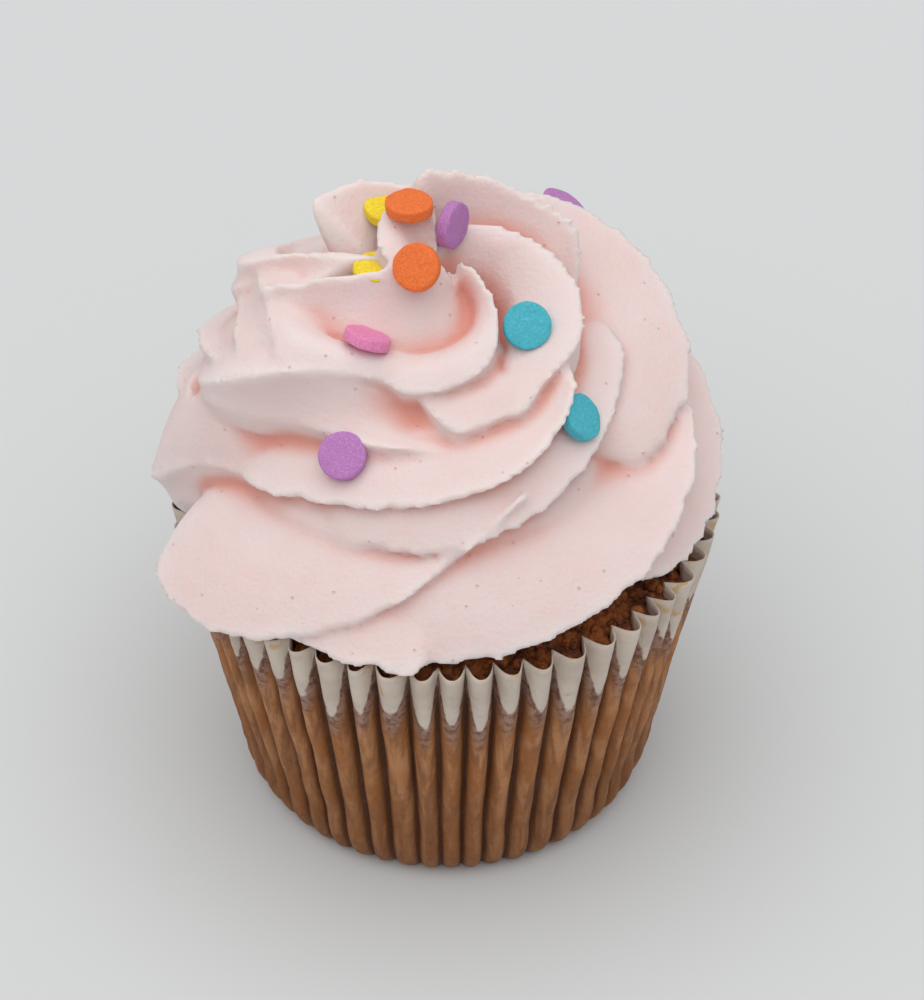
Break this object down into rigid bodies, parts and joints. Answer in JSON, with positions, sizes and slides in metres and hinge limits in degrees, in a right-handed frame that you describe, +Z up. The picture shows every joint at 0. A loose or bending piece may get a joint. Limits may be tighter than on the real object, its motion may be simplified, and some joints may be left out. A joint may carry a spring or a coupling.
{
  "type": "frosted cupcake",
  "caption": "Cupcake in a pleated paper case with a piped swirl of pink buttercream, standing on its flat base.",
  "frame": {"origin": "middle of the paper case's flat base", "axes": "+Z up through the swirl's peak, -Y is the front"},
  "size_m": [0.0721, 0.0702, 0.0861],
  "materials": {
    "case_paper": "thin white baking paper, stained brown by the cake up to a pale rim",
    "cake_crumb": "dark brown open crumb",
    "buttercream": "soft matte pale pink buttercream",
    "sugar_discs": "pressed sugar in several bright colours, finely grained"
  },
  "bodies": {
    "root": {"paper_case": "case_paper", "cake": "cake_crumb", "frosting": "buttercream"}
  },
  "joints": []
}
